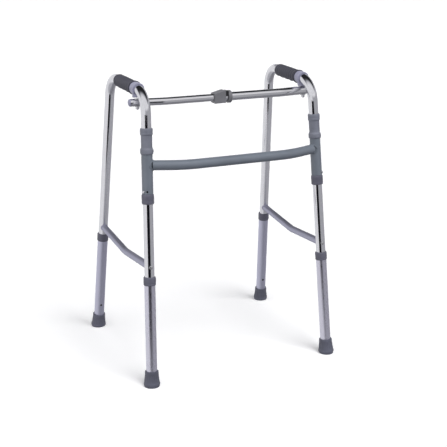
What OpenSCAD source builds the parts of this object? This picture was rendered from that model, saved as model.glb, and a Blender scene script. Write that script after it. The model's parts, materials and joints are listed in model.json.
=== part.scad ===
// Folding walking frame: two side frames that swing in the sleeves of a front frame,
// a telescoping top bar with a centre latch, and four height-adjustable legs.
// Millimetres, +Z up, front is -Y, origin on the floor under the middle of the frame.

/* [Stance] */
// Distance of each side frame from the middle, at the floor
side_x = 265; // [240:1:290]
// Lean of each side frame towards the middle, degrees
side_lean = 2.17; // [0:0.01:4]
// Toe-in of each side frame at the front, degrees
side_toe = 1.28; // [0:0.01:3]
// Front foot, in front of the middle
front_foot = 222.6; // [200:0.1:240]
// Rear foot, behind the middle
rear_foot = 222.9; // [200:0.1:240]
// Rake of the front legs from upright, degrees
front_rake = 5.62; // [3:0.01:8]
// Rake of the rear legs from upright, degrees
rear_rake = 7.97; // [5:0.01:10]

/* [Side frame] */
// Diameter of the side tube
tube_d = 25.4; // [22:0.1:26]
// Wall of the side tube
tube_wall = 1.2; // [1:0.1:2]
// Height of the handle's centre line at its front corner
handle_z = 756; // [740:1:770]
// How much higher the handle is at its rear corner
handle_rise = 5.5; // [0:0.5:8]
// Radius of the front bend
front_bend_r = 62; // [50:1:70]
// Radius of the rear bend
rear_bend_r = 58; // [50:1:62]
// Diameter of the handle grip
grip_d = 34; // [31:0.5:38]
// Diameter of the side brace
brace_d = 19; // [16:0.5:22]

/* [Lower legs] */
// Outer diameter of the lower leg tube
leg_d = 28.6; // [28.2:0.1:30]
// Top of the front leg tubes, along the leg
front_leg_top = 289; // [280:1:295]
// Top of the rear leg tubes, along the leg
rear_leg_top = 300; // [285:1:305]
// Height of the snap button, along the leg
snap_h = 75; // [70:1:90]
// Spacing of the height holes
hole_pitch = 25; // [20:1:26]
// Number of height holes
hole_count = 7; // [5:1:7]
// Height of the rubber tips
tip_h = 41; // [35:1:45]
// Diameter of the rubber tips at the floor
tip_d = 43.5; // [40:0.5:46]

/* [Front frame] */
// Outer diameter of the painted sleeves
sleeve_d = 28.6; // [28.2:0.1:32]
// Diameter of the crossbar
crossbar_d = 25.4; // [22:0.1:28]
// How far the middle of the crossbar bows in front of the sleeves
crossbar_bow = 28; // [27:1:34]
// Height of the middle of the crossbar
crossbar_z = 575; // [570:1:580]

/* [Top bar] */
// Distance of each bar pivot from the middle
pivot_x = 236; // [232:1:240]
// Distance of the bar pivots in front of the middle
pivot_y = 92; // [90:1:96]
// Height of the bar's centre line
bar_z = 723; // [718:1:724]
// Diameter of the fixed, outer tube of the bar
bar_outer_d = 22; // [21:0.1:23]
// Diameter of the sliding, inner tube of the bar
bar_inner_d = 19; // [18:0.1:19.2]

/* [Hidden] */
$fn = 48;

LEFT = -1;
RIGHT = 1;
tube_r = tube_d / 2;
leg_r = leg_d / 2;
bend_lap = 0.5;                  // a tube's straight stretches run this far into its bends
bend_draw = 0.02;                // bending draws a tube in by this much
gap = 0.3;                       // between parts that slide or turn past each other
leg_wall = leg_r - tube_r - gap;
leg_collar_long = 18;            // how far the leg's collar reaches down from its top
leg_low = 14;                    // lower end of the leg tube, along the leg
front_y = -front_foot;
tube_end_h = 50;                 // lower end of the side tube, along each leg
snap_d = 7;
swing_h = 514;                   // height of the swing-lock button, along the leg
swing_turn = -26;                // where the button is, round from straight outwards
swing_sweep = 75;                // how far a side frame turns in its sleeve, degrees
slot_spare = 20;                 // the slot in the side tube is longer at each end, degrees
sleeve_h = [508, 608];           // lower and upper end of the sleeve, along the leg
spare_hole_turn = -66;           // where the sleeve's spare hole is, in the same way
upper_collar_long = 65;
lower_collar_low = 482;          // lower end of the lower collar, along the leg
crossbar_h = 580;                // where the crossbar meets the sleeve, along the leg
crossbar_straight = 150;         // half of the crossbar's straight middle
crossbar_wall = 1.6;
crossbar_bend_r = 230;
brace_z = [318, 305, 322];       // heights of the brace's front end, bend and rear end
brace_bend_y = -13;
brace_bend_r = 90;
brace_wall = 1.2;
rivet_d = 4;
grip_span = [74, 201];           // grip and bracket cuff, along the handle from its front corner
cuff_span = [50, 73];
cuff_d = 33;
boss_low = [13.2, 12];           // the left and right boss stand this far above the bar's centre
boss_high = 18;
boss_d = 25;
pin_d = 6;
bar_straight = 166;              // the bar's ends bend back beyond this distance
bar_setback = 9;                 // how far the middle of the bar lies in front of its pivots
bar_stub = 18.5;                 // the bar's ends beyond the pivots
bar_bend_r = 120;
bar_wall = 1.2;
mouth_x = -30;                   // the outer tube's open end
inner_end_x = 58;                // the inner tube's end, inside the outer tube
latch_long = 31;                 // length of the latch's wedge, of the gap beyond it, and of the ring
latch_gap = 8;
latch_ring_long = 10;
latch_top = bar_outer_d / 2 + 6.5;
latch_rail = bar_outer_d / 2 + 0.1; // half of the width between the button's rails

// A point of the right side's plane, in the frame of the whole object.
function at_side(p) = [
    side_x + (p[0] * cos(side_lean) - p[2] * sin(side_lean)) * cos(side_toe)
        + p[1] * sin(side_toe),
    -(p[0] * cos(side_lean) - p[2] * sin(side_lean)) * sin(side_toe) + p[1] * cos(side_toe),
    p[0] * sin(side_lean) + p[2] * cos(side_lean)
];
function front_axis(h) = [0, front_y + h * sin(front_rake), h * cos(front_rake)];
function rear_axis(h) = [0, rear_foot - h * sin(rear_rake), h * cos(rear_rake)];
function unit(v) = v / norm(v);
function flip(p) = [-p[0], p[1], p[2]];

// Corner points of the bent tubes.
front_corner = [0, front_y + handle_z * tan(front_rake), handle_z];
rear_z = handle_z + handle_rise;
rear_corner = [0, rear_foot - rear_z * tan(rear_rake), rear_z];
handle_tilt = atan2(handle_rise, rear_corner[1] - front_corner[1]);
side_path = [front_axis(tube_end_h), front_corner, rear_corner, rear_axis(tube_end_h)];
sleeve_point = at_side(front_axis(crossbar_h));
bow_point = [crossbar_straight, sleeve_point[1] - crossbar_bow, crossbar_z];
crossbar_path = [flip(sleeve_point), flip(bow_point), bow_point, sleeve_point];
brace_front = [0, front_y + brace_z[0] * tan(front_rake), brace_z[0]];
brace_rear = [0, rear_foot - brace_z[2] * tan(rear_rake), brace_z[2]];
brace_path = [brace_front, [0, brace_bend_y, brace_z[1]], brace_rear];
pivot = [pivot_x, -pivot_y, bar_z];
bar_bend = [bar_straight, -pivot_y - bar_setback, bar_z];
bar_end = pivot + bar_stub * unit(pivot - bar_bend);
bar_turn = atan2(bar_setback, pivot_x - bar_straight);

// The normal of the plane that a path lies in.
function path_normal(path) = unit(cross(path[1] - path[0], path[2] - path[1]));

// A straight round rod between two points, its facets in line with the plane of normal n.
module rod(a, b, r, n) {
    u = unit(b - a);
    x = cross(n, u);
    multmatrix([
        [x[0], n[0], u[0], a[0]],
        [x[1], n[1], u[1], a[1]],
        [x[2], n[2], u[2], a[2]],
        [0, 0, 0, 1]
    ])
        cylinder(r = r, h = norm(b - a));
}

// The bend of a round rod at corner b, between points a and c.
module bend(a, b, c, r, bend_r) {
    u = unit(b - a);
    v = unit(c - b);
    turn = acos(u * v);
    w = unit(v - (v * u) * u);
    centre = b - bend_r * tan(turn / 2) * u + bend_r * w;
    n = cross(-w, u);
    multmatrix([
        [-w[0], u[0], n[0], centre[0]],
        [-w[1], u[1], n[1], centre[1]],
        [-w[2], u[2], n[2], centre[2]],
        [0, 0, 0, 1]
    ])
        rotate_extrude(angle = turn)
            translate([bend_r, 0])
                circle(r = r);
}

// Where a bend at b begins or ends, on the way to point p.
function bend_stop(a, b, c, p, bend_r) =
    b + bend_r * tan(acos(unit(b - a) * unit(c - b)) / 2) * unit(p - b);

// A round rod along a flat path of three or four points, with a bend radius at each corner.
module bent_rod(path, r, radii, extra = 0) {
    last = len(path) - 1;
    n = path_normal(path);
    for (i = [0:last - 1]) {
        along = unit(path[i + 1] - path[i]);
        from = i == 0
            ? path[0] - extra * along
            : bend_stop(path[i - 1], path[i], path[i + 1], path[i + 1], radii[i - 1])
                - bend_lap * along;
        to = i == last - 1
            ? path[last] + extra * along
            : bend_stop(path[i], path[i + 1], path[i + 2], path[i], radii[i])
                + bend_lap * along;
        rod(from, to, r, n);
    }
    for (i = [1:last - 1])
        bend(path[i - 1], path[i], path[i + 1], r - bend_draw, radii[i - 1]);
}

module bent_tube(path, r, wall, radii) {
    difference() {
        bent_rod(path, r, radii);
        bent_rod(path, r - wall, radii, 1);
    }
}

module ring(d, bore, low, high) {
    difference() {
        translate([0, 0, low])
            cylinder(d = d, h = high - low);
        translate([0, 0, low - 1])
            cylinder(d = bore, h = high - low + 2);
    }
}

// Frames of reference: the plane of a side, its legs, and its bar pivot.
module on_side(s) {
    mirror([s == LEFT ? 1 : 0, 0, 0])
        translate([side_x, 0, 0])
            rotate([0, -side_lean, -side_toe])
                children();
}

module on_front_leg(s) {
    on_side(s)
        translate([0, front_y, 0])
            rotate([-front_rake, 0, 0])
                children();
}

module on_rear_leg(s) {
    on_side(s)
        translate([0, rear_foot, 0])
            rotate([rear_rake, 0, 0])
                children();
}

module on_leg(s, front) {
    if (front)
        on_front_leg(s) children();
    else
        on_rear_leg(s) children();
}

// Along a handle: +Y runs back from its front corner.
module on_handle(s) {
    on_side(s)
        translate(front_corner)
            rotate([handle_tilt, 0, 0])
                children();
}

module at_pivot(s) {
    mirror([s == LEFT ? 1 : 0, 0, 0])
        translate(pivot)
            rotate([0, -side_lean, -side_toe])
                rotate([-front_rake, 0, 0])
                    children();
}

// Front frame.
module crossbar() {
    color("#73838c")
        difference() {
            bent_rod(crossbar_path, crossbar_d / 2, [crossbar_bend_r, crossbar_bend_r]);
            bent_rod(crossbar_path, crossbar_d / 2 - crossbar_wall,
                [crossbar_bend_r, crossbar_bend_r]);
            for (s = [LEFT, RIGHT])
                on_front_leg(s)
                    translate([0, 0, crossbar_h])
                        cylinder(d = sleeve_d, h = 4 * crossbar_d, center = true);
        }
}

module sleeve(s) {
    color("#73838c")
        on_front_leg(s)
            difference() {
                ring(sleeve_d, tube_d + 2 * gap, sleeve_h[0], sleeve_h[1]);
                translate([0, 0, swing_h])
                    rotate([0, 0, swing_turn])
                        rotate([0, 90, 0])
                            cylinder(d = snap_d + 0.2, h = sleeve_d);
                translate([0, 0, swing_h])
                    rotate([0, 0, spare_hole_turn])
                        rotate([0, 90, 0])
                            cylinder(d = snap_d - 1, h = sleeve_d);
            }
}

module upper_collar(s) {
    low = sleeve_h[1];
    high = low + upper_collar_long;
    r = sleeve_d / 2;
    color("#8a9199")
        on_front_leg(s)
            rotate_extrude()
                polygon([
                    [tube_r + gap, low], [r + 1.2, low], [r + 2.5, low + 3],
                    [r + 2.5, low + 13], [r - 0.1, low + 17], [r - 0.1, high - 17],
                    [r + 1.7, high - 15], [r + 1.7, high - 2], [r + 0.9, high],
                    [tube_r + gap, high]
                ]);
}

module lower_collar(s) {
    low = lower_collar_low;
    high = sleeve_h[0] - gap;
    r = sleeve_d / 2;
    color("#5f6469")
        on_front_leg(s)
            rotate_extrude()
                polygon([
                    [tube_r, low], [r + 0.4, low], [r + 1.6, low + 2],
                    [r + 1.6, high - 4], [r + 0.4, high], [tube_r, high]
                ]);
}

module button(reach, inside, face) {
    // A domed button on the X axis: its face stands at reach, its flange lies at inside.
    rotate([0, 90, 0]) {
        translate([0, 0, inside])
            cylinder(d = snap_d, h = reach - 1.4 - inside);
        translate([0, 0, reach - 1.4])
            cylinder(d1 = snap_d, d2 = face, h = 1.4);
        translate([0, 0, inside - 1.2])
            cylinder(d = snap_d + 2, h = 1.2);
    }
}

module swing_button(s) {
    color("#d9dadc")
        on_front_leg(s)
            translate([0, 0, swing_h])
                rotate([0, 0, swing_turn])
                    button(sleeve_d / 2 + 2.6, 9.4, 4);
}

// Side frames.
module side_tube(s) {
    color("#d5d6da")
        difference() {
            on_side(s)
                bent_tube(side_path, tube_r, tube_wall, [front_bend_r, rear_bend_r]);
            for (front = [true, false])
                on_leg(s, front)
                    translate([0, 0, snap_h])
                        rotate([-90, 0, 0])
                            cylinder(d = snap_d + 0.6, h = leg_d);
            on_front_leg(s)
                translate([0, 0, swing_h - snap_d / 2 - 0.6])
                    rotate([0, 0, swing_turn + slot_spare])
                        mirror([0, 1, 0])
                            rotate_extrude(angle = swing_sweep + 2 * slot_spare)
                                translate([tube_r - 3, 0])
                                    square([6, snap_d + 1.2]);
        }
}

module grip(s) {
    color("#3f4046")
        on_handle(s)
            rotate([-90, 0, 0])
                difference() {
                    union() {
                        translate([0, 0, grip_span[0]])
                            cylinder(d = grip_d, h = grip_span[1] - grip_span[0]);
                        translate([0, 0, grip_span[0]])
                            cylinder(d = grip_d + 3, h = 5);
                    }
                    translate([0, 0, grip_span[0] - 1])
                        cylinder(d = tube_d, h = grip_span[1] - grip_span[0] + 2);
                }
}

module bar_bracket(s) {
    low = s == LEFT ? boss_low[0] : boss_low[1];
    color("#b6b8cc")
        difference() {
            union() {
                on_handle(s)
                    translate([0, cuff_span[0], 0])
                        rotate([-90, 0, 0])
                            cylinder(d = cuff_d, h = cuff_span[1] - cuff_span[0]);
                hull() {
                    at_pivot(s)
                        translate([0, 0, low])
                            cylinder(d = boss_d, h = boss_high - low);
                    on_handle(s)
                        translate([-8, cuff_span[0] + 4, -tube_r - 2])
                            cube([16, cuff_span[1] - cuff_span[0] - 6, 6]);
                }
            }
            on_side(s)
                bent_rod(side_path, tube_r, [front_bend_r, rear_bend_r]);
            at_pivot(s)
                cylinder(d = pin_d, h = boss_high);
        }
}

module nut(low) {
    translate([0, 0, low - 4.5])
        cylinder(d = 10.5, h = 4.5, $fn = 6);
    translate([0, 0, low - 7])
        cylinder(d1 = 4, d2 = 8, h = 2.5);
}

// The right pin goes through the bar, and the left one is shared with the bar's own rivet.
module bar_pin(s) {
    washer_low = -bar_outer_d / 2 - 2;
    color("#c9cbd0")
        at_pivot(s)
            if (s == RIGHT) {
                translate([0, 0, washer_low])
                    cylinder(d = pin_d, h = boss_high - 2 - washer_low);
                translate([0, 0, washer_low])
                    cylinder(d = 14, h = 1.2);
                nut(washer_low);
            } else {
                translate([0, 0, boss_low[0]])
                    cylinder(d = pin_d, h = boss_high - 2 - boss_low[0]);
            }
}

module brace(s) {
    color("#a7a8be")
        on_side(s)
            difference() {
                bent_rod(brace_path, brace_d / 2, [brace_bend_r]);
                bent_rod(brace_path, brace_d / 2 - brace_wall, [brace_bend_r]);
                bent_rod(side_path, tube_r, [front_bend_r, rear_bend_r]);
            }
}

module brace_bolts(s) {
    color("#cfd0d4")
        on_side(s)
            for (end = [[brace_front, -1, front_rake], [brace_rear, 1, -rear_rake]])
                translate(end[0])
                    rotate([end[1] * 90 - end[2], 0, 0])
                        mirror([0, 0, 1])
                            rotate_extrude()
                                polygon([
                                    [0, tube_r], [5, tube_r + 0.6], [4.4, tube_r + 2.2],
                                    [2.4, tube_r + 3.1], [0, tube_r + 3.3]
                                ]);
}

// Lower legs.
module leg_tube(s, front) {
    top = front ? front_leg_top : rear_leg_top;
    color(front ? "#c4c5cf" : "#b1b1c8")
        on_leg(s, front)
            difference() {
                ring(leg_d, leg_d - 2 * leg_wall, leg_low, top);
                for (i = [0:hole_count - 1])
                    translate([0, 0, snap_h + i * hole_pitch])
                        rotate([-90, 0, 0])
                            cylinder(d = snap_d + 0.6, h = leg_d);
                if (!front)
                    translate([0, 0, snap_h])
                        rotate([90, 0, 0])
                            cylinder(d = rivet_d, h = leg_d);
            }
}

module leg_collar(s, front) {
    top = front ? front_leg_top : rear_leg_top;
    color("#5f6469")
        on_leg(s, front)
            rotate_extrude()
                polygon([
                    [leg_r, top - leg_collar_long], [leg_r + 1, top - leg_collar_long],
                    [leg_r + 1.8, top - leg_collar_long + 1.5],
                    [leg_r + 1.8, top + 1.5], [leg_r + 0.6, top + 4], [tube_r + gap, top + 4],
                    [tube_r + gap, top], [leg_r, top]
                ]);
}

module tip(s, front) {
    color("#54565e")
        difference() {
            on_leg(s, front)
                difference() {
                    rotate_extrude()
                        polygon([
                            [0, -6], [tip_d / 2 - 1.6, -6], [tip_d / 2 - 1.6, 0],
                            [tip_d / 2 - 0.2, 5], [tip_d / 2 - 3.8, tip_h - 2],
                            [tip_d / 2 - 4.8, tip_h], [0, tip_h]
                        ]);
                    translate([0, 0, leg_low])
                        cylinder(d = leg_d, h = tip_h);
                }
            translate([-400, -400, -40])
                cube([800, 800, 40]);
        }
}

module snap_button(s, front) {
    color("#d9dadc")
        on_leg(s, front)
            translate([0, 0, snap_h])
                rotate([0, 0, 90])
                    button(leg_r + 2.4, 9.4, 4);
}

module stop_rivet(s) {
    color("#3a3a42")
        on_rear_leg(s)
            translate([0, 0, snap_h])
                rotate([90, 0, 0]) {
                    translate([0, 0, tube_r + gap])
                        cylinder(d = rivet_d, h = leg_wall + 0.6);
                    translate([0, 0, leg_r])
                        cylinder(d1 = rivet_d + 2.5, d2 = rivet_d + 1, h = 1);
                }
}

// Top bar.
module bar_outer_tube() {
    color("#d5d6da")
        difference() {
            bent_tube([[mouth_x, bar_bend[1], bar_z], bar_bend, bar_end],
                bar_outer_d / 2, bar_wall, [bar_bend_r]);
            at_pivot(RIGHT)
                translate([0, 0, -20])
                    cylinder(d = pin_d + 0.2, h = 40);
        }
}

module bar_inner_tube() {
    color("#d5d6da")
        difference() {
            bent_tube([[inner_end_x, bar_bend[1], bar_z], flip(bar_bend), flip(bar_end)],
                bar_inner_d / 2, bar_wall, [bar_bend_r]);
            at_pivot(LEFT)
                translate([0, 0, -20])
                    cylinder(d = pin_d, h = 40);
        }
}

// A rounded plug in an end of the bar.
module bar_plug(s) {
    r = (s == RIGHT ? bar_outer_d : bar_inner_d) / 2;
    mirror([s == LEFT ? 1 : 0, 0, 0])
        translate(bar_end)
            rotate([0, 0, bar_turn])
                rotate([0, 90, 0])
                    color("#9fa1ad") {
                        translate([0, 0, -9])
                            cylinder(r = r - bar_wall, h = 9);
                        difference() {
                            scale([1, 1, 0.55])
                                sphere(r = r);
                            translate([0, 0, -r])
                                cylinder(r = r + 1, h = r);
                        }
                    }
}

module bar_rivet_left() {
    reach = bar_inner_d / 2;
    color("#c9cbd0") {
        at_pivot(LEFT) {
            translate([0, 0, -reach - 1.6])
                cylinder(d = pin_d, h = 2 * reach + 2.4);
            translate([0, 0, -reach - 1.6])
                cylinder(d = 13, h = 1.2);
            nut(-reach - 1.6);
        }
        // The upper washer is shaped to the tube.
        difference() {
            at_pivot(LEFT)
                translate([0, 0, reach - 1.6])
                    cylinder(d = 15, h = 2.4);
            translate(flip(pivot))
                rotate([0, 0, -bar_turn])
                    rotate([0, 90, 0])
                        cylinder(r = reach, h = 4 * reach, center = true);
        }
    }
}

module bar_guide_bush() {
    // Keeps the inner tube central in the outer one.
    color("#5f6469")
        translate([0, bar_bend[1], bar_z])
            rotate([0, 90, 0])
                ring(bar_outer_d - 2 * bar_wall - 0.1, bar_inner_d - 2 * bar_wall,
                    inner_end_x, inner_end_x + 8);
}

module latch_housing() {
    // A wedge round the outer tube's mouth, flat below and sloping up towards the ring.
    width = bar_outer_d + 5;
    color("#8b8d92")
        translate([mouth_x - 2, bar_bend[1], bar_z])
            difference() {
                translate([0, width / 2, 0])
                    rotate([90, 0, 0])
                        linear_extrude(width)
                            polygon([
                                [0, -bar_outer_d / 2 - 3.5], [0, bar_inner_d / 2 + 1],
                                [latch_long - 4, latch_top], [latch_long, latch_top],
                                [latch_long, -bar_outer_d / 2 - 3]
                            ]);
                translate([2, 0, 0])
                    rotate([0, 90, 0])
                        cylinder(d = bar_outer_d, h = latch_long);
                translate([-1, 0, 0])
                    rotate([0, 90, 0])
                        cylinder(d = bar_inner_d + 2 * gap, h = 4);
            }
}

// Two plates on the bar's flanks, from the wedge to the ring, that guide the button.
module latch_rails() {
    color("#2d2d30")
        for (side = [-1, 1])
            translate([mouth_x - 2 + latch_long, bar_bend[1] + side * (latch_rail + 1) - 1,
                bar_z + 3])
                cube([latch_gap, 2, latch_top - 4.5]);
}

module latch_ring() {
    low = mouth_x - 2 + latch_long + latch_gap;
    color("#8b8d92")
        translate([0, bar_bend[1], bar_z])
            rotate([0, 90, 0])
                ring(2 * latch_top - 2, bar_outer_d, low, low + latch_ring_long);
}

module latch_button() {
    wide = 2 * (latch_rail - gap);
    color("#2d2d30")
        translate([mouth_x - 2 + latch_long + gap, bar_bend[1] - wide / 2, bar_z + latch_top - 5])
            cube([latch_gap - 2 * gap, wide, 4]);
}

crossbar();
sleeve(LEFT);  // sleeve_left
sleeve(RIGHT);  // sleeve_right
upper_collar(LEFT);  // upper_collar_left
upper_collar(RIGHT);  // upper_collar_right
lower_collar(LEFT);  // lower_collar_left
lower_collar(RIGHT);  // lower_collar_right
swing_button(LEFT);  // swing_button_left
swing_button(RIGHT);  // swing_button_right
side_tube(LEFT);  // side_tube_left
side_tube(RIGHT);  // side_tube_right
grip(LEFT);  // grip_left
grip(RIGHT);  // grip_right
bar_bracket(LEFT);  // bar_bracket_left
bar_bracket(RIGHT);  // bar_bracket_right
brace(LEFT);  // brace_left
brace(RIGHT);  // brace_right
brace_bolts(LEFT);  // brace_bolts_left
brace_bolts(RIGHT);  // brace_bolts_right
bar_pin(LEFT);  // bar_pin_left
bar_pin(RIGHT);  // bar_pin_right
leg_tube(LEFT, true);  // leg_tube_front_left
leg_tube(RIGHT, true);  // leg_tube_front_right
leg_tube(LEFT, false);  // leg_tube_rear_left
leg_tube(RIGHT, false);  // leg_tube_rear_right
leg_collar(LEFT, true);  // leg_collar_front_left
leg_collar(RIGHT, true);  // leg_collar_front_right
leg_collar(LEFT, false);  // leg_collar_rear_left
leg_collar(RIGHT, false);  // leg_collar_rear_right
tip(LEFT, true);  // tip_front_left
tip(RIGHT, true);  // tip_front_right
tip(LEFT, false);  // tip_rear_left
tip(RIGHT, false);  // tip_rear_right
snap_button(LEFT, true);  // snap_button_front_left
snap_button(RIGHT, true);  // snap_button_front_right
snap_button(LEFT, false);  // snap_button_rear_left
snap_button(RIGHT, false);  // snap_button_rear_right
stop_rivet(LEFT);  // stop_rivet_left
stop_rivet(RIGHT);  // stop_rivet_right
bar_outer_tube();
bar_inner_tube();
bar_plug(LEFT);  // bar_plug_left
bar_plug(RIGHT);  // bar_plug_right
bar_rivet_left();
bar_guide_bush();
latch_housing();
latch_rails();
latch_ring();
latch_button();
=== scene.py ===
"""A folding walking frame: the looks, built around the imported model."""

import json
import math

import bmesh
import bpy
from mathutils import Matrix, Vector


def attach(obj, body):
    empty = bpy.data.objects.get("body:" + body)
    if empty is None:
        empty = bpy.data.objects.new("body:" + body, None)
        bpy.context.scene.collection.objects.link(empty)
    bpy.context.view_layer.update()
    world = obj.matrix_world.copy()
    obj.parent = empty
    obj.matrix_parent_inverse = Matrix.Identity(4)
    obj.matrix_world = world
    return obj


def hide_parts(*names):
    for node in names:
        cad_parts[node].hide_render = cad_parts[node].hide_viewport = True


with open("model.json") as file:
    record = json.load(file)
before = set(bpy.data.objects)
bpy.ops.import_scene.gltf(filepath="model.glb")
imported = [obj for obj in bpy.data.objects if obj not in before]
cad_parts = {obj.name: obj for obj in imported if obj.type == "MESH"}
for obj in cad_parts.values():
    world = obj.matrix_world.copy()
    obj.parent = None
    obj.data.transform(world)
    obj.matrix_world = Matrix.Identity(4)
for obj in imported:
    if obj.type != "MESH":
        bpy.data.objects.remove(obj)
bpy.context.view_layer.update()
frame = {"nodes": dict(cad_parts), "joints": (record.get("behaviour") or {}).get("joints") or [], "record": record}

MM = 0.001
SIDES = {"left": -1, "right": 1}
ENDS = ("front", "rear")
UP = Vector((0, 0, 1))

# How finely things are drawn.
AROUND = 64
GRIP_AROUND = 96
TIP_AROUND = 160
HOLE_AROUND = 32
BEAD_AROUND = 12
BEAD_POINTS = 120
ARC_STEP = 2.5 * MM
CORNER_STEPS = 4
FINE_CORNER_STEPS = 3
WELD = 0.01 * MM
FLAT = math.radians(0.5)
TINY = 1e-6
BEVEL_FROM = math.radians(30)

# Degrees between two faces from which the edge between them stays sharp.
SHARP = 35
SHARP_MOULDED = 40
SHARP_FOAM = 50
SHARP_FINISHED = 30

# How long the bits are that drill the holes.
HOLE_CUT = 12 * MM
PIN_HOLE_CUT = 60 * MM

# Sizes that the pieces share with the CAD model.
TUBE_R = 12.7 * MM
TUBE_WALL = 1.2 * MM
LEG_R = 14.3 * MM
LEG_WALL = 1.3 * MM
FIT = 0.3 * MM
SLEEVE_R = 14.3 * MM
BAR_OUTER_R = 11 * MM
BAR_INNER_R = 9.5 * MM
BRACE_R = 9.5 * MM
BAR_WALL = 1.2 * MM
TUBE_END = 50 * MM
HANDLE_Z = {"front": 756 * MM, "rear": 761.5 * MM}
GRIP_SPAN = (74 * MM, 201 * MM)
GRIP_R = 17 * MM
FRONT_BEND = 62 * MM
REAR_BEND = 58 * MM
CROSSBAR_HEIGHT = 580 * MM
CROSSBAR_BEND = 230 * MM
CROSSBAR_BOW = 28 * MM
CROSSBAR_STRAIGHT = 150 * MM
CROSSBAR_MIDDLE_Z = 575 * MM
SLEEVE_SPAN = (508 * MM, 608 * MM)
SWING_HEIGHT = 514 * MM
SWING_TURN = math.radians(26)
SWING_HOLE_R = 3.6 * MM
SPARE_HOLE_TURN = math.radians(66)
SPARE_HOLE_R = 3 * MM
UPPER_COLLAR = 65 * MM
LOWER_COLLAR_LOW = 482 * MM
SNAP_HEIGHT = 75 * MM
HOLE_PITCH = 25 * MM
HOLE_COUNT = 7
HOLE_R = 3.8 * MM
TIP_SOCKET = 14 * MM
LEG_TOP = {"front": 289 * MM, "rear": 300 * MM}
BRACE_HEIGHTS = {"front": 318 * MM, "middle": 305 * MM, "rear": 322 * MM}
BRACE_MIDDLE_Y = -13 * MM
BRACE_BEND = 90 * MM
BAR_STRAIGHT = 166 * MM
BAR_SETBACK = 9 * MM
BAR_STUB = 18.5 * MM
BAR_BEND = 120 * MM
MOUTH_X = -30 * MM
INNER_END_X = 58 * MM
PIN_HOLE_R = {"left": 3 * MM, "right": 3.1 * MM}

joints = {j["name"]: j for j in frame["joints"]}
mounts = {m["name"]: m for m in frame["record"]["mounts"]}


# ---------------------------------------------------------------- places

def leg_axis(end, side):
    """The foot of a leg's axis, and the axis's upward direction."""
    foot = Vector(mounts[f"foot_{end}_{side}"]["pos_m"])
    return foot, -Vector(joints[f"height_{end}_{side}"]["axis"]).normalized()


def along(end, side, height):
    """A point of a leg's axis, this far up it."""
    foot, up = leg_axis(end, side)
    return foot + up * height


def basis(origin, up, towards):
    """A matrix with Z along up and X as near to towards as it can be."""
    z = up.normalized()
    x = (towards - towards.dot(z) * z).normalized()
    y = z.cross(x)
    return Matrix.Translation(origin) @ Matrix((x, y, z)).transposed().to_4x4()


def leg_frame(end, side, height=0.0):
    """Z up the leg, X outwards."""
    outwards = Vector((SIDES[side], 0, 0))
    return basis(along(end, side, height), leg_axis(end, side)[1], outwards)


def in_side_plane(side, y, z):
    """A point of a side frame's plane: y back from its middle, z up along the plane."""
    front, up = leg_axis("front", side)
    rear = leg_axis("rear", side)[0]
    back = (rear - front).normalized()
    rise = (up - up.dot(back) * back).normalized()
    return front + back * (y - front.y / back.y) + rise * z


def on_leg_at(end, side, rise):
    """Where a leg's axis is a given way up its side frame's plane."""
    foot, up = leg_axis(end, side)
    back = leg_axis("rear", side)[0] - leg_axis("front", side)[0]
    plane_up = (up - up.dot(back) / back.dot(back) * back).normalized()
    return foot + up * (rise / up.dot(plane_up))


def side_path(side):
    """The corners of a side tube, from the front leg over the handle to the rear leg."""
    return [along("front", side, TUBE_END), on_leg_at("front", side, HANDLE_Z["front"]),
            on_leg_at("rear", side, HANDLE_Z["rear"]), along("rear", side, TUBE_END)]


def pivot(side):
    """Where the bar is bolted to a bracket: the right one's joint, mirrored for the left."""
    p = Vector(joints["bar_swivel"]["pos_m"])
    return Vector((SIDES[side] * p.x, p.y, p.z))


def bar_bend_point(side):
    """The corner where the bar turns from its straight middle towards a pivot."""
    p = pivot(side)
    return Vector((SIDES[side] * BAR_STRAIGHT, p.y - BAR_SETBACK, p.z))


def bar_end(side):
    """The bar's end, a short way past the pivot."""
    p = pivot(side)
    return p + (p - bar_bend_point(side)).normalized() * BAR_STUB


# ---------------------------------------------------------------- meshes

def rounded_path(points, radii):
    """The points of a path with an arc at each inner corner."""
    out = [points[0]]
    for a, b, c, r in zip(points, points[1:], points[2:], radii):
        u, v = (b - a).normalized(), (c - b).normalized()
        turn = u.angle(v)
        w = (v - v.dot(u) * u).normalized()
        start = b - u * (r * math.tan(turn / 2))
        centre = start + w * r
        count = max(6, math.ceil(turn * r / ARC_STEP))
        for i in range(count + 1):
            t = turn * i / count
            out.append(centre - w * (r * math.cos(t)) + u * (r * math.sin(t)))
    out.append(points[-1])
    return out


def divided(points, longest):
    """The same path with no step over the longest."""
    out = [points[0]]
    for a, b in zip(points, points[1:]):
        count = max(1, math.ceil((b - a).length / longest))
        out += [a.lerp(b, i / count) for i in range(1, count + 1)]
    return out


def path_frames(points):
    """Two steady vectors across a path at each of its points."""
    tangents = []
    for i in range(len(points)):
        before, after = points[max(i - 1, 0)], points[min(i + 1, len(points) - 1)]
        tangents.append((after - before).normalized())
    side = tangents[0].orthogonal().normalized()
    frames = []
    for t in tangents:
        side = (side - side.dot(t) * t).normalized()
        frames.append((side, t.cross(side)))
    return frames


def add_ring(bm, centre, x, y, radius, around):
    """Adds a ring of vertices round a point, in the plane of x and y."""
    angles = (2 * math.pi * k / around for k in range(around))
    return [bm.verts.new(centre + (x * math.cos(a) + y * math.sin(a)) * radius) for a in angles]


def join_rings(bm, one, two):
    """Adds the faces between two rings, either of which may be a single vertex."""
    around = max(len(one), len(two))
    if around == 1:
        return
    for k in range(around):
        n = (k + 1) % around
        corners = (one[k % len(one)], one[n % len(one)], two[n % len(two)], two[k % len(two)])
        bm.faces.new(list(dict.fromkeys(corners)))


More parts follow.
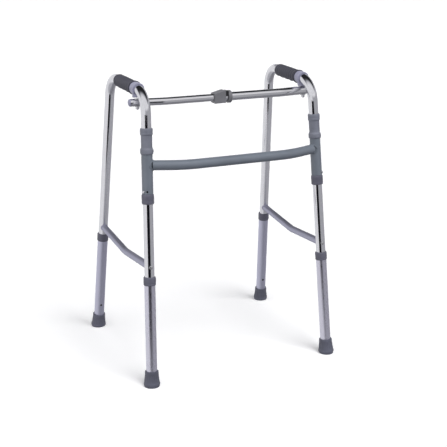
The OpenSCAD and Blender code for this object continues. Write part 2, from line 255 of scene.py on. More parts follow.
def swept(points, radius, wall=None):
    """A closed mesh of a round tube, or of a round rod if it has no wall."""
    bm = bmesh.new()
    frames = path_frames(points)

    def skin(r):
        rings = [add_ring(bm, p, x, y, r, AROUND) for p, (x, y) in zip(points, frames)]
        for one, two in zip(rings, rings[1:]):
            join_rings(bm, one, two)
        return rings

    outer = skin(radius)
    if wall:
        inner = skin(radius - wall)
        join_rings(bm, outer[0], inner[0])
        join_rings(bm, outer[-1], inner[-1])
    else:
        bm.faces.new(outer[0])
        bm.faces.new(outer[-1])
    return bm


def smooth_profile(points, rounding, steps=CORNER_STEPS):
    """A profile of (radius, height) points with each corner rounded off. A corner gets
    steps + 1 points."""
    out = []
    count = len(points)
    for i, p in enumerate(points):
        p = Vector(p)
        a = Vector(points[i - 1])
        b = Vector(points[(i + 1) % count])
        r = min(rounding, (a - p).length * 0.45, (b - p).length * 0.45)
        if p.x <= TINY or r < TINY:
            out.append(p)
            continue
        start, end = p + (a - p).normalized() * r, p + (b - p).normalized() * r
        for k in range(steps + 1):
            t = k / steps
            out.append(start.lerp(p, t).lerp(p.lerp(end, t), t))
    return out


def turned(profile, place, around=AROUND, shape=None):
    """A closed profile of (radius, height) points turned about Z, then put in place.
    shape(radius, height, angle) may give another radius and height."""
    bm = bmesh.new()
    rings = []
    for p in profile:
        if p[0] <= TINY:
            rings.append([bm.verts.new(place @ Vector((0, 0, p[1])))])
            continue
        ring = []
        for k in range(around):
            a = 2 * math.pi * k / around
            r, h = shape(p[0], p[1], a) if shape else (p[0], p[1])
            ring.append(bm.verts.new(place @ Vector((r * math.cos(a), r * math.sin(a), h))))
        rings.append(ring)
    for one, two in zip(rings, rings[1:] + rings[:1]):
        join_rings(bm, one, two)
    return bm


def copied(node):
    """A welded copy of a CAD node's mesh, with its flat faces made whole."""
    bm = bmesh.new()
    bm.from_mesh(frame["nodes"][node].data)
    bmesh.ops.remove_doubles(bm, verts=bm.verts, dist=WELD)
    bmesh.ops.dissolve_limit(bm, angle_limit=FLAT, verts=bm.verts, edges=bm.edges)
    return bm


def drill(cutter, place, radius, depth=HOLE_CUT):
    """Adds a round bit to a cutter, with its axis along the place's Z."""
    bmesh.ops.create_cone(cutter, cap_ends=True, segments=HOLE_AROUND, radius1=radius,
                          radius2=radius, depth=depth, matrix=place)


# ---------------------------------------------------------------- pieces

def smooth(mesh, sharp=SHARP):
    for poly in mesh.polygons:
        poly.use_smooth = True
    mesh.set_sharp_from_angle(angle=math.radians(sharp))


def make_object(name, bm, material=None, sharp=SHARP):
    bmesh.ops.recalc_face_normals(bm, faces=bm.faces)
    mesh = bpy.data.meshes.new(name)
    bm.to_mesh(mesh)
    bm.free()
    smooth(mesh, sharp)
    obj = bpy.data.objects.new(name, mesh)
    bpy.context.scene.collection.objects.link(obj)
    if material:
        mesh.materials.append(material)
    return obj


def body_of_node(node):
    return next(b for b, nodes in frame["record"]["behaviour"]["bodies"].items() if node in nodes)


def stand_for(obj, node):
    """obj takes a CAD node's body and place."""
    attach(obj, body_of_node(node))
    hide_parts(node)


def also_on(obj, node):
    """obj is a detail on a CAD node: the same body."""
    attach(obj, body_of_node(node))


def apply_modifiers(obj):
    dg = bpy.context.evaluated_depsgraph_get()
    mesh = bpy.data.meshes.new_from_object(obj.evaluated_get(dg))
    old = obj.data
    obj.modifiers.clear()
    obj.data = mesh
    bpy.data.meshes.remove(old)


def bevel(obj, width, segments=2):
    mod = obj.modifiers.new("edges", "BEVEL")
    mod.width = width
    mod.segments = segments
    mod.limit_method = "ANGLE"
    mod.angle_limit = BEVEL_FROM
    mod.harden_normals = True


def cut(obj, cutter_bm):
    """Takes a shape out of an object."""
    cutter = make_object("cutter", cutter_bm)
    mod = obj.modifiers.new("cut", "BOOLEAN")
    mod.operation = "DIFFERENCE"
    mod.solver = "EXACT"
    mod.object = cutter
    bpy.context.view_layer.update()
    apply_modifiers(obj)
    bpy.data.objects.remove(cutter)


# ---------------------------------------------------------------- materials

def new_material(name, color, metallic=0.0, roughness=0.5, coat=0.0, sheen=0.0, specular=0.5):
    mat = bpy.data.materials.new(name)
    mat.use_nodes = True
    bsdf = mat.node_tree.nodes["Principled BSDF"]
    bsdf.inputs["Base Color"].default_value = (*color, 1)
    bsdf.inputs["Metallic"].default_value = metallic
    bsdf.inputs["Roughness"].default_value = roughness
    bsdf.inputs["Coat Weight"].default_value = coat
    bsdf.inputs["Coat Roughness"].default_value = 0.15
    bsdf.inputs["Sheen Weight"].default_value = sheen
    bsdf.inputs["Specular IOR Level"].default_value = specular
    return mat, mat.node_tree, bsdf


def noise(tree, scale, stretch=(1, 1, 1), detail=4.0, rough=0.5):
    """Noise in the piece's own coordinates, stretched along an axis."""
    coords = tree.nodes.new("ShaderNodeTexCoord")
    mapping = tree.nodes.new("ShaderNodeMapping")
    mapping.inputs["Scale"].default_value = stretch
    tex = tree.nodes.new("ShaderNodeTexNoise")
    tex.inputs["Scale"].default_value = scale
    tex.inputs["Detail"].default_value = detail
    tex.inputs["Roughness"].default_value = rough
    tree.links.new(coords.outputs["Object"], mapping.inputs["Vector"])
    tree.links.new(mapping.outputs["Vector"], tex.inputs["Vector"])
    return tex.outputs["Fac"]


def remap(tree, value, low, high, new_low, new_high):
    node = tree.nodes.new("ShaderNodeMapRange")
    for socket, number in zip(("From Min", "From Max", "To Min", "To Max"),
                              (low, high, new_low, new_high)):
        node.inputs[socket].default_value = number
    tree.links.new(value, node.inputs["Value"])
    return node.outputs["Result"]


def vary_color(tree, bsdf, value, color, factors, low=0.3, high=0.7):
    """The colour times two factors, from the value low to the value high."""
    ramp = tree.nodes.new("ShaderNodeValToRGB")
    for element, position, factor in zip(ramp.color_ramp.elements, (low, high), factors):
        element.position = position
        element.color = (*shade(color, factor), 1)
    tree.links.new(value, ramp.inputs["Fac"])
    tree.links.new(ramp.outputs["Color"], bsdf.inputs["Base Color"])


def vary_roughness(tree, bsdf, value, smoothest, roughest, low=0.3, high=0.7):
    rough = remap(tree, value, low, high, smoothest, roughest)
    tree.links.new(rough, bsdf.inputs["Roughness"])


def bump(tree, bsdf, value, strength, distance):
    node = tree.nodes.new("ShaderNodeBump")
    node.inputs["Strength"].default_value = strength
    node.inputs["Distance"].default_value = distance
    tree.links.new(value, node.inputs["Height"])
    tree.links.new(node.outputs["Normal"], bsdf.inputs["Normal"])


def shade(color, factor):
    return tuple(min(1, c * factor) for c in color)


SMUDGE_SHARE = 0.35
DUST = 1.35


def metal(name, color, roughness, grain, spread):
    """Drawn tube: streaks along the grain in roughness, colour and a very fine bump."""
    mat, tree, bsdf = new_material(name, color, metallic=1.0)
    streaks = noise(tree, 1.0, grain, detail=6)
    smudges = noise(tree, 14.0, detail=3)
    mix = tree.nodes.new("ShaderNodeMath")
    mix.operation = "MULTIPLY_ADD"
    mix.inputs[1].default_value = SMUDGE_SHARE
    tree.links.new(smudges, mix.inputs[0])
    tree.links.new(streaks, mix.inputs[2])
    vary_roughness(tree, bsdf, mix.outputs["Value"], roughness - spread, roughness + spread,
                   0.35, 1.0)
    vary_color(tree, bsdf, streaks, color, (0.93, 1.04))
    bump(tree, bsdf, streaks, 0.05, 0.02 * MM)
    return mat


def paint(name, color):
    """Powder coat: a fine orange peel, slightly uneven in colour."""
    mat, tree, bsdf = new_material(name, color, roughness=0.42, coat=0.25)
    peel = noise(tree, 900.0, detail=2)
    cloud = noise(tree, 22.0, detail=4)
    vary_color(tree, bsdf, cloud, color, (0.93, 1.07))
    vary_roughness(tree, bsdf, cloud, 0.36, 0.48)
    bump(tree, bsdf, peel, 0.25, 0.06 * MM)
    return mat


def plastic(name, color, roughness, texture=1400.0, depth=0.05):
    """Moulded plastic with a fine spark-eroded grain."""
    mat, tree, bsdf = new_material(name, color, roughness=roughness)
    grain = noise(tree, texture, detail=3)
    cloud = noise(tree, 40.0, detail=3)
    vary_color(tree, bsdf, cloud, color, (0.9, 1.1))
    vary_roughness(tree, bsdf, cloud, roughness - 0.06, roughness + 0.08)
    bump(tree, bsdf, grain, 0.35, depth * MM)
    return mat


def rubber(name, color, roughness, cell, depth):
    """Rubber or foam: a cellular surface with dusty patches."""
    mat, tree, bsdf = new_material(name, color, roughness=roughness, sheen=0.15)
    bsdf.inputs["Sheen Roughness"].default_value = 0.5
    cloud = noise(tree, 28.0, detail=6, rough=0.65)
    vary_color(tree, bsdf, cloud, color, (0.85, DUST), 0.35, 0.75)
    cells = tree.nodes.new("ShaderNodeTexVoronoi")
    cells.inputs["Scale"].default_value = cell
    coords = tree.nodes.new("ShaderNodeTexCoord")
    tree.links.new(coords.outputs["Object"], cells.inputs["Vector"])
    vary_roughness(tree, bsdf, cloud, roughness - 0.08, min(1, roughness + 0.1))
    bump(tree, bsdf, cells.outputs["Distance"], 0.4, depth * MM)
    return mat


# How the grain is stretched: streaks run along the axis with the low number.
UPRIGHT = (700, 700, 9)
CROSSWISE = (9, 700, 700)
LENGTHWISE = (700, 9, 700)
EVEN = (60, 60, 60)

POLISHED = metal("polished_tube", (0.84, 0.84, 0.87), 0.11, UPRIGHT, 0.05)
POLISHED_BAR = metal("polished_bar", (0.84, 0.84, 0.86), 0.13, CROSSWISE, 0.05)
LOWER_FRONT = metal("lower_front_tube", (0.73, 0.72, 0.82), 0.29, UPRIGHT, 0.06)
# The rear legs' lower tubes are the same tubes as the front ones: this copy is rougher, and its darker colour is
# painted shade.
LOWER_REAR_SHADED = metal("lower_rear_tube_shaded", (0.66, 0.66, 0.79), 0.50, UPRIGHT, 0.07)
BRACE_METAL = metal("brace_tube", (0.50, 0.50, 0.61), 0.52, LENGTHWISE, 0.07)
STEEL = metal("fastener_steel", (0.72, 0.72, 0.74), 0.25, EVEN, 0.08)
BUTTON_STEEL = metal("button_steel", (0.88, 0.88, 0.9), 0.12, EVEN, 0.05)
PAINT = paint("frame_paint", (0.172, 0.196, 0.232))
COLLAR_GREY = plastic("collar_grey", (0.20, 0.21, 0.255), 0.42)
COLLAR_DARK = plastic("collar_dark", (0.125, 0.125, 0.165), 0.45)
BRACKET = plastic("bracket_plastic", (0.36, 0.36, 0.48), 0.33, 900.0, 0.03)
LATCH = plastic("latch_plastic", (0.19, 0.19, 0.205), 0.42)
BLACK = plastic("black_plastic", (0.012, 0.012, 0.014), 0.4)
GRIP = rubber("grip_foam", (0.050, 0.050, 0.070), 0.72, 1600.0, 0.12)
TIP = rubber("tip_rubber", (0.100, 0.104, 0.140), 0.62, 900.0, 0.05)


# ---------------------------------------------------------------- side frames

def make_side_tube(side):
    path = divided(rounded_path(side_path(side), (FRONT_BEND, REAR_BEND)), 60 * MM)
    tube = make_object(f"side_tube_skin_{side}", swept(path, TUBE_R, TUBE_WALL), POLISHED)
    stand_for(tube, f"side_tube_{side}")


GRIP_FLANGE = 5 * MM
GRIP_RIDGES = 10
GRIP_RIDGE_POINTS = 150
GRIP_FINGERS = 4
GRIP_FINGER_DEPTH = 0.9 * MM


def make_grip(side):
    """A foam sleeve with rounded ends, a flange at the front and finger ridges."""
    front, rear = side_path(side)[1:3]
    back = (rear - front).normalized()
    length = GRIP_SPAN[1] - GRIP_SPAN[0]
    radius = GRIP_R
    place = basis(front + back * GRIP_SPAN[0], back, UP)
    inner = TUBE_R
    flange = [(radius + 1.2 * MM, 0), (radius + 1.4 * MM, GRIP_FLANGE)]
    # The edge against the tube stays sharp, so its rounding is left off.
    outline = smooth_profile([(inner, 0), *flange], 1.2 * MM)[CORNER_STEPS + 1:]
    body_start, body_end = GRIP_FLANGE + 2 * MM, length - 3 * MM
    body = []
    for i in range(GRIP_RIDGE_POINTS + 1):
        t = i / GRIP_RIDGE_POINTS
        h = body_start + (body_end - body_start) * t
        wave = 0.5 - 0.5 * math.cos(2 * math.pi * GRIP_RIDGES * t)
        crown = 0.5 * MM * math.sin(math.pi * t)
        body.append((radius - 1.5 * MM + crown + 1.1 * MM * wave ** 0.6, h))
    end = [(radius - 2.4 * MM, length - 1.2 * MM), (radius - 4 * MM, length), (inner, length)]
    whole = [(inner, 0), *outline, *body, *end]

    def fingers(r, h, a):
        under = max(0.0, -math.cos(a))
        if body_start < h < body_end and r > inner * 1.05:
            t = (h - body_start) / (body_end - body_start)
            r += GRIP_FINGER_DEPTH * under ** 2 * math.cos(2 * math.pi * GRIP_FINGERS * t)
        return r, h

    grip = make_object(f"grip_foam_{side}", turned(whole, place, GRIP_AROUND, fingers), GRIP,
                       SHARP_FOAM)
    stand_for(grip, f"grip_{side}")


def make_brace(side):
    points = [on_leg_at("front", side, BRACE_HEIGHTS["front"]),
              in_side_plane(side, BRACE_MIDDLE_Y, BRACE_HEIGHTS["middle"]),
              on_leg_at("rear", side, BRACE_HEIGHTS["rear"])]
    path = divided(rounded_path(points, (BRACE_BEND,)), 40 * MM)
    brace = make_object(f"brace_skin_{side}", swept(path, BRACE_R, TUBE_WALL), BRACE_METAL)
    stand_for(brace, f"brace_{side}")
    for end, centre, inward in (("front", path[0], path[1]), ("rear", path[-1], path[-2])):
        foot, up = leg_axis(end, side)
        direction = (inward - centre).normalized()
        bead = weld_bead(centre, direction, BRACE_R, foot, up, TUBE_R, 0.9 * MM)
        also_on(make_object(f"brace_weld_{end}_{side}", bead, BRACE_METAL), f"brace_{side}")


BEAD_RIPPLE = 0.16
BEAD_RIPPLE_POINTS = 5


def weld_bead(centre, direction, radius, axis_point, axis, around_radius, size):
    """A rippled bead where a tube meets the side of another tube. Each of its points is
    found by following the first tube's wall to the second tube's surface."""
    x = direction.orthogonal().normalized()
    y = direction.cross(x)
    points = []
    for k in range(BEAD_POINTS):
        t = 2 * math.pi * k / BEAD_POINTS
        p = centre + (x * math.cos(t) + y * math.sin(t)) * (radius + size * 0.2)
        q = p - axis_point
        q = q - axis * q.dot(axis)
        d = direction - axis * direction.dot(axis)
        a, b, c = d.dot(d), 2 * q.dot(d), q.dot(q) - (around_radius + size * 0.1) ** 2
        inside = max(0.0, b * b - 4 * a * c)
        points.append(p + direction * ((-b + math.sqrt(inside)) / (2 * a)))
    bm = bmesh.new()
    rings = []
    for k, p in enumerate(points):
        along_bead = (points[(k + 1) % BEAD_POINTS] - points[k - 1]).normalized()
        out = (p - centre).normalized()
        out = (out - out.dot(along_bead) * along_bead).normalized()
        other = along_bead.cross(out)
        r = size * (1 + BEAD_RIPPLE * math.cos(k * 2 * math.pi / BEAD_RIPPLE_POINTS))
        rings.append(add_ring(bm, p, out, other, r, BEAD_AROUND))
    for one, two in zip(rings, rings[1:] + rings[:1]):
        join_rings(bm, one, two)
    return bm


BRACKET_VOXEL = 0.55 * MM


def make_bracket(side):
    """A moulded bracket: the CAD shape with its corners softened into fillets."""
    piece = make_object(f"bar_bracket_moulded_{side}", copied(f"bar_bracket_{side}"), BRACKET)
    remesh = piece.modifiers.new("remesh", "REMESH")
    remesh.mode = "VOXEL"
    remesh.voxel_size = BRACKET_VOXEL
    soften = piece.modifiers.new("smooth", "SMOOTH")
    soften.factor = 0.5
    soften.iterations = 5
    bpy.context.view_layer.update()
    apply_modifiers(piece)
    for poly in piece.data.polygons:
        poly.use_smooth = True
    stand_for(piece, f"bar_bracket_{side}")


# ---------------------------------------------------------------- lower legs

def make_leg_tube(end, side):
    path = divided([along(end, side, TIP_SOCKET), along(end, side, LEG_TOP[end])], 20 * MM)
    material = LOWER_FRONT if end == "front" else LOWER_REAR_SHADED
    tube = make_object(f"leg_skin_{end}_{side}", swept(path, LEG_R, LEG_WALL), material)
    cutter = bmesh.new()
    back = Vector(joints[f"snap_press_{end}_{side}"]["axis"]) * -1
    for i in range(HOLE_COUNT):
        centre = along(end, side, SNAP_HEIGHT + i * HOLE_PITCH) + back * LEG_R
        drill(cutter, basis(centre, back, UP), HOLE_R)
    cut(tube, cutter)
    radial_normals(tube, end, side)
    stand_for(tube, f"leg_tube_{end}_{side}")


def radial_normals(obj, end, side):
    """Gives the outer face of a drilled leg tube the normals of a true cylinder."""
    foot, up = leg_axis(end, side)
    mesh = obj.data
    smooth(mesh)
    normals = [Vector(n.vector) for n in mesh.corner_normals]
    for poly in mesh.polygons:
        spokes = []
        for i in poly.loop_indices:
            q = mesh.vertices[mesh.loops[i].vertex_index].co - foot
            spokes.append(q - up * q.dot(up))
        is_wall = abs(poly.normal.dot(up)) < 0.5
        if is_wall and all(abs(s.length - LEG_R) < 0.05 * MM for s in spokes):
            for i, s in zip(poly.loop_indices, spokes):
                normals[i] = s.normalized()
    mesh.normals_split_custom_set(normals)


def make_collar(kind, which, profile, place, material):
    collar = make_object(f"{kind}_moulded_{which}", turned(profile, place), material,
                         SHARP_MOULDED)
    stand_for(collar, f"{kind}_{which}")


def make_leg_collar(end, side):
    top = LEG_TOP[end]
    r = LEG_R
    inner = TUBE_R + FIT
    profile = [(r, top - 18 * MM), (r + 1 * MM, top - 18 * MM), (r + 1.7 * MM, top - 16.5 * MM),
               (r + 1.7 * MM, top - 13.5 * MM), (r + 1.2 * MM, top - 13 * MM),
               (r + 1.2 * MM, top - 12 * MM), (r + 1.8 * MM, top - 11.4 * MM),
               (r + 1.8 * MM, top + 1.2 * MM), (r + 0.5 * MM, top + 4 * MM), (inner, top + 4 * MM),
               (inner, top), (r, top)]
    make_collar("leg_collar", f"{end}_{side}", smooth_profile(profile, 0.6 * MM, FINE_CORNER_STEPS),
                leg_frame(end, side), COLLAR_DARK)


TIP_HEIGHT = 41 * MM
TIP_R = 21.75 * MM
TIP_RIBS = 20
RIB_DEPTH = 0.9 * MM
RIB_SPAN = (11 * MM, TIP_HEIGHT - 7.5 * MM)
TREAD_RINGS = (4, 8, 12)
TREAD_DEPTH = 1.2 * MM
SOLE = 5 * MM  # the height over which the tip turns from level to square with the leg


def make_tip(end, side):
    """A ribbed rubber tip, flat on the floor, with tread rings underneath."""
    wall = [(TIP_R - 1.6 * MM, 0), (TIP_R - 1.2 * MM, 3.5 * MM), (TIP_R - 0.2 * MM, 4.5 * MM),
            (TIP_R - 0.3 * MM, 9 * MM), (TIP_R - 1.3 * MM, 10 * MM),
            (TIP_R - 3.9 * MM, TIP_HEIGHT - 7 * MM), (TIP_R - 3.6 * MM, TIP_HEIGHT - 6.4 * MM),
            (TIP_R - 3.9 * MM, TIP_HEIGHT - 1.2 * MM), (TIP_R - 5 * MM, TIP_HEIGHT),
            (LEG_R, TIP_HEIGHT), (LEG_R, TIP_SOCKET), (0, TIP_SOCKET)]
    tread = [(0, TREAD_DEPTH)]
    for r in TREAD_RINGS:
        tread += [(r * MM, TREAD_DEPTH), ((r + 0.5) * MM, 0), ((r + 2.5) * MM, 0),
                  ((r + 3) * MM, TREAD_DEPTH)]
    points = smooth_profile([*tread, *wall], 0.6 * MM, FINE_CORNER_STEPS)
    fine = []
    for a, b in zip(points, points[1:]):
        count = max(1, math.ceil((b - a).length / (2 * MM)))
        fine += [a.lerp(b, i / count) for i in range(count)]
    fine.append(points[-1])

    def ribs(r, h, a):
        low, high = RIB_SPAN
        if low < h < high and r > LEG_R * 1.08:
            fade = min(1, (h - low) / (3 * MM), (high - h) / (2 * MM))
            r -= RIB_DEPTH * fade * (0.5 + 0.5 * math.cos(TIP_RIBS * a)) ** 3
        return r, h

    bm = turned(fine, leg_frame(end, side), TIP_AROUND, ribs)
    foot, up = leg_axis(end, side)
    for v in bm.verts:
        # The sole is level: near the floor, heights count from the floor, not along the leg.
        h = (v.co - foot).dot(up)
        level = max(0.0, 1 - h / SOLE)
        v.co.z += (h - v.co.z) * level
    tip = make_object(f"tip_rubber_{end}_{side}", bm, TIP, SHARP_MOULDED)
    stand_for(tip, f"tip_{end}_{side}")


# ---------------------------------------------------------------- front frame

CROSSBAR_INSET = TUBE_R + FIT + 1 * MM


def make_crossbar():
    ends = {s: along("front", s, CROSSBAR_HEIGHT) for s in SIDES}
    front_y = ends["right"].y - CROSSBAR_BOW
    bow = {s: Vector((SIDES[s] * CROSSBAR_STRAIGHT, front_y, CROSSBAR_MIDDLE_Z)) for s in SIDES}
    points = [ends["left"], bow["left"], bow["right"], ends["right"]]
    points[0] += (points[1] - points[0]).normalized() * CROSSBAR_INSET
    points[-1] += (points[-2] - points[-1]).normalized() * CROSSBAR_INSET
    path = divided(rounded_path(points, (CROSSBAR_BEND, CROSSBAR_BEND)), 30 * MM)
    stand_for(make_object("crossbar_painted", swept(path, TUBE_R), PAINT), "crossbar")
    for side in SIDES:
        foot, up = leg_axis("front", side)
        direction = (bow[side] - ends[side]).normalized()
        bead = weld_bead(ends[side], direction, TUBE_R, foot, up, SLEEVE_R, 1.5 * MM)
        also_on(make_object(f"crossbar_weld_{side}", bead, PAINT), "crossbar")


def make_sleeve(side):
    low, high = SLEEVE_SPAN
    path = divided([along("front", side, low), along("front", side, high)], 12 * MM)
    tube = swept(path, SLEEVE_R, SLEEVE_R - TUBE_R - FIT)
    sleeve = make_object(f"sleeve_painted_{side}", tube, PAINT)
    place = leg_frame("front", side, SWING_HEIGHT)
    outwards = Matrix.Translation((SLEEVE_R, 0, 0)) @ Matrix.Rotation(math.pi / 2, 4, "Y")
    cutter = bmesh.new()
    for turn, radius in ((SWING_TURN, SWING_HOLE_R), (SPARE_HOLE_TURN, SPARE_HOLE_R)):
        spoke = place @ Matrix.Rotation(-SIDES[side] * turn, 4, "Z")
        drill(cutter, spoke @ outwards, radius)
    cut(sleeve, cutter)
    bevel(sleeve, 0.3 * MM)
    stand_for(sleeve, f"sleeve_{side}")


def make_upper_collar(side):
    low = SLEEVE_SPAN[1]
    inner, r = TUBE_R + FIT, SLEEVE_R
    high = low + UPPER_COLLAR
    profile = [(inner, low), (r + 1.2 * MM, low), (r + 2.3 * MM, low + 2.5 * MM),
               (r + 2.5 * MM, low + 7 * MM), (r + 2.3 * MM, low + 12 * MM),
               (r + 0.2 * MM, low + 16 * MM), (r - 0.1 * MM, low + 18 * MM),
               (r - 0.1 * MM, high - 18 * MM), (r + 1.6 * MM, high - 15.5 * MM),
               (r + 1.7 * MM, high - 11 * MM), (r + 1.1 * MM, high - 10.4 * MM),
               (r + 1.1 * MM, high - 9.4 * MM), (r + 1.7 * MM, high - 8.8 * MM),
               (r + 1.7 * MM, high - 2 * MM), (r + 0.7 * MM, high), (inner, high)]
    make_collar("upper_collar", side, smooth_profile(profile, 1.1 * MM),
                leg_frame("front", side), COLLAR_GREY)


def make_lower_collar(side):
    low, high = LOWER_COLLAR_LOW, SLEEVE_SPAN[0] - FIT
    inner, r = TUBE_R, SLEEVE_R
    profile = [(inner, low), (r + 0.4 * MM, low), (r + 1.5 * MM, low + 1.8 * MM),
               (r + 1.6 * MM, low + 8 * MM), (r + 1.1 * MM, low + 8.5 * MM),
               (r + 1.1 * MM, low + 9.5 * MM), (r + 1.6 * MM, low + 10 * MM),
               (r + 1.6 * MM, high - 4 * MM), (r + 0.4 * MM, high), (inner, high)]
    make_collar("lower_collar", side, smooth_profile(profile, 0.8 * MM),
                leg_frame("front", side), COLLAR_DARK)


# ---------------------------------------------------------------- top bar

def make_bar_tube(name, node, side, start_x, radius):
    start = Vector((start_x, bar_bend_point(side).y, pivot(side).z))
    points = [start, bar_bend_point(side), bar_end(side)]
    path = divided(rounded_path(points, (BAR_BEND,)), 30 * MM)
    tube = make_object(name, swept(path, radius, BAR_WALL), POLISHED_BAR)
    cutter = bmesh.new()
    place = basis(pivot(side), leg_axis("front", side)[1], Vector((1, 0, 0)))
    drill(cutter, place, PIN_HOLE_R[side], PIN_HOLE_CUT)
    cut(tube, cutter)
    smooth(tube.data)
    stand_for(tube, node)


PLUG_SHANK = 9 * MM
DOME_STEPS = 10


def make_bar():
    make_bar_tube("bar_outer_skin", "bar_outer_tube", "right", MOUTH_X, BAR_OUTER_R)
    make_bar_tube("bar_inner_skin", "bar_inner_tube", "left", INNER_END_X, BAR_INNER_R)
    for side, radius in (("left", BAR_INNER_R), ("right", BAR_OUTER_R)):
        out = (pivot(side) - bar_bend_point(side)).normalized()
        place = basis(bar_end(side), out, UP)
        shank = radius - BAR_WALL
        dome = [(radius * math.cos(t), 1 * MM + radius * 0.5 * math.sin(t))
                for t in (math.pi / 2 * i / DOME_STEPS for i in range(DOME_STEPS))]
        profile = [(0, -PLUG_SHANK), (shank, -PLUG_SHANK), (shank, 0), (radius, 0), *dome,
                   (0, 1 * MM + radius * 0.5)]
        plug = make_object(f"bar_plug_moulded_{side}", turned(profile, place), BRACKET,
                           SHARP_MOULDED)
        stand_for(plug, f"bar_plug_{side}")


def refine(node, material, width, segments=3):
    """A CAD node's shape with rounded edges, which catch the light."""
    piece = make_object(f"{node}_finished", copied(node), material, SHARP_FINISHED)
    bevel(piece, width, segments)
    stand_for(piece, node)


# ---------------------------------------------------------------- the whole object

make_crossbar()
make_bar()
for one_side in SIDES:
    make_side_tube(one_side)
    make_grip(one_side)
    make_brace(one_side)
    make_bracket(one_side)
    make_sleeve(one_side)
    make_upper_collar(one_side)
    make_lower_collar(one_side)
    for one_end in ENDS:
        make_leg_tube(one_end, one_side)
        make_leg_collar(one_end, one_side)
        make_tip(one_end, one_side)
        refine(f"snap_button_{one_end}_{one_side}", BUTTON_STEEL, 0.3 * MM)
    refine(f"swing_button_{one_side}", BUTTON_STEEL, 0.3 * MM)
    refine(f"brace_bolts_{one_side}", STEEL, 0.2 * MM)
    refine(f"bar_pin_{one_side}", STEEL, 0.3 * MM)
    refine(f"stop_rivet_{one_side}", BLACK, 0.2 * MM)
refine("bar_rivet_left", STEEL, 0.3 * MM)
refine("bar_guide_bush", COLLAR_DARK, 0.2 * MM)
refine("latch_housing", LATCH, 1.1 * MM, 4)
refine("latch_ring", LATCH, 1.6 * MM, 5)
refine("latch_rails", BLACK, 0.4 * MM)
refine("latch_button", BLACK, 0.8 * MM, 4)

# ---------------------------------------------------------------- stage, light, camera

TARGET = Vector((-0.0265, -0.156, 0.3955))
AZIMUTH, ELEVATION, DISTANCE = math.radians(-23.8), math.radians(17.1), 2.6
SENSOR_WIDTH, FOCAL_LENGTH = 36, 79.1  # millimetres, as the camera counts them
TO_CAMERA = Vector((math.sin(AZIMUTH) * math.cos(ELEVATION),
                    -math.cos(AZIMUTH) * math.cos(ELEVATION), math.sin(ELEVATION)))
TO_CAMERA_LEVEL = Vector((TO_CAMERA.x, TO_CAMERA.y, 0)).normalized()

FLOOR_SIZE = 30
FLOOR_WHITE = (0.93, 0.93, 0.93)
FLOOR_GLOW = 0.2
DOME_RADIUS = 28
SUN_STRENGTH = 1.9
SUN_SPREAD = math.radians(30)
SUN_FROM = Vector((0.35, -1.2, 2.2))
SIDE_LIGHT = (0.42, 0.80)  # on the right, on the left
BANK_LIGHT = 0.78
CEILING_SHARE = 0.03
BELOW_SHARE = 0.6
DIM_TINT = (0.90, 0.90, 1, 1)
FLAG_HEIGHT, FLAG_DISTANCE = 0.3, 1.35
FLAG_SIZE = (1.3, 0.95)
FLAG_DARK = (0.015, 0.015, 0.02)


def aimed(obj, place, target):
    obj.location = place
    obj.rotation_mode = "QUATERNION"
    obj.rotation_quaternion = (target - place).to_track_quat("-Z", "Y")


def make_camera():
    data = bpy.data.cameras.new("camera")
    camera = bpy.data.objects.new("camera", data)
    bpy.context.scene.collection.objects.link(camera)
    data.sensor_width = SENSOR_WIDTH
    data.lens = FOCAL_LENGTH
    data.clip_end = 100
    aimed(camera, TARGET + TO_CAMERA * DISTANCE, TARGET)
    bpy.context.scene.camera = camera


def hide_from(obj, *rays):
    for ray in rays:
        setattr(obj, f"visible_{ray}", False)


def make_floor():
    """White paper that glows a little. Reflections and bounced light don't see it, only the
    world behind it."""
    bm = bmesh.new()
    bmesh.ops.create_grid(bm, x_segments=1, y_segments=1, size=FLOOR_SIZE)
    mat, _, bsdf = new_material("floor", FLOOR_WHITE, roughness=0.9, specular=0.1)
    bsdf.inputs["Emission Color"].default_value = (1, 1, 1, 1)
    bsdf.inputs["Emission Strength"].default_value = FLOOR_GLOW
    floor = make_object("floor", bm, mat)
    hide_from(floor, "glossy", "diffuse")


def make_backdrop():
    """A white dome for the camera alone, that shows above the floor's far side."""
    bm = bmesh.new()
    bmesh.ops.create_uvsphere(bm, u_segments=48, v_segments=24, radius=DOME_RADIUS)
    mat, tree, _ = new_material("backdrop", (1, 1, 1))
    glow = tree.nodes.new("ShaderNodeEmission")
    tree.links.new(glow.outputs["Emission"], tree.nodes["Material Output"].inputs["Surface"])
    dome = make_object("backdrop", bm, mat)
    hide_from(dome, "glossy", "diffuse", "shadow", "transmission")


def make_flag():
    """A dark panel that only reflections see, on the camera's side of the object."""
    bm = bmesh.new()
    bmesh.ops.create_grid(bm, x_segments=1, y_segments=1, size=0.5)
    mat, _, _ = new_material("flag", FLAG_DARK, roughness=1, specular=0)
    flag = make_object("flag", bm, mat)
    place = Vector((0, 0, FLAG_HEIGHT)) + TO_CAMERA_LEVEL * FLAG_DISTANCE
    aimed(flag, place, Vector((0, 0, place.z)))
    flag.scale = (*FLAG_SIZE, 1)
    hide_from(flag, "camera", "diffuse", "shadow")


def make_sun():
    data = bpy.data.lights.new("key", "SUN")
    data.energy = SUN_STRENGTH
    data.angle = SUN_SPREAD
    lamp = bpy.data.objects.new("key", data)
    bpy.context.scene.collection.objects.link(lamp)
    aimed(lamp, SUN_FROM, Vector((0, 0, 0)))
    hide_from(lamp, "glossy")


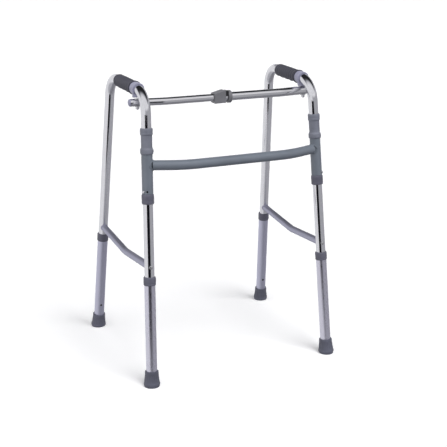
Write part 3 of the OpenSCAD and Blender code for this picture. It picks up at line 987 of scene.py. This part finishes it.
def make_world():
    """A studio in the round, as the camera has it: bright on the left and grey on the
    right, a bright bank overhead in front, a dark ceiling behind, and dimmer light from
    straight below. A direction's value is its cosine with left, up or away."""
    world = bpy.data.worlds.new("studio")
    world.use_nodes = True
    tree = world.node_tree
    coords = tree.nodes.new("ShaderNodeTexCoord").outputs["Generated"]

    def towards(direction):
        node = tree.nodes.new("ShaderNodeVectorMath")
        node.operation = "DOT_PRODUCT"
        node.inputs[1].default_value = direction
        tree.links.new(coords, node.inputs[0])
        return node.outputs["Value"]

    def band(value, low, high, new_low, new_high):
        """From new_low to new_high, in a smooth step between low and high."""
        out = remap(tree, value, low, high, new_low, new_high)
        out.node.interpolation_type = "SMOOTHSTEP"
        return out

    def combine(operation, a, b):
        node = tree.nodes.new("ShaderNodeMath")
        node.operation = operation
        tree.links.new(a, node.inputs[0])
        tree.links.new(b, node.inputs[1])
        return node.outputs["Value"]

    left = Vector((TO_CAMERA_LEVEL.y, -TO_CAMERA_LEVEL.x, 0))
    height = towards(UP)
    away = towards(-TO_CAMERA_LEVEL)
    round_about = band(towards(left), -0.05, 0.35, *SIDE_LIGHT)
    bank = band(height, 0.1, 0.45, 0, BANK_LIGHT)
    ceiling = combine("MULTIPLY", band(height, 0.3, 0.6, 0, 1), band(away, -0.45, 0.35, 0, 1))
    dark_above = band(ceiling, 0, 1, 1, CEILING_SHARE)
    below = band(height, -0.75, -0.4, BELOW_SHARE, 1)
    value = combine("MULTIPLY", combine("MAXIMUM", round_about, bank),
                    combine("MULTIPLY", dark_above, below))
    tint = tree.nodes.new("ShaderNodeMix")
    tint.data_type = "RGBA"
    tint.inputs["A"].default_value = DIM_TINT
    tint.inputs["B"].default_value = (1, 1, 1, 1)
    tree.links.new(value, tint.inputs["Factor"])
    background = tree.nodes["Background"]
    tree.links.new(tint.outputs["Result"], background.inputs["Color"])
    tree.links.new(value, background.inputs["Strength"])
    bpy.context.scene.world = world


make_camera()
make_floor()
make_backdrop()
make_world()
make_sun()
make_flag()
bpy.context.scene.view_settings.view_transform = "Standard"
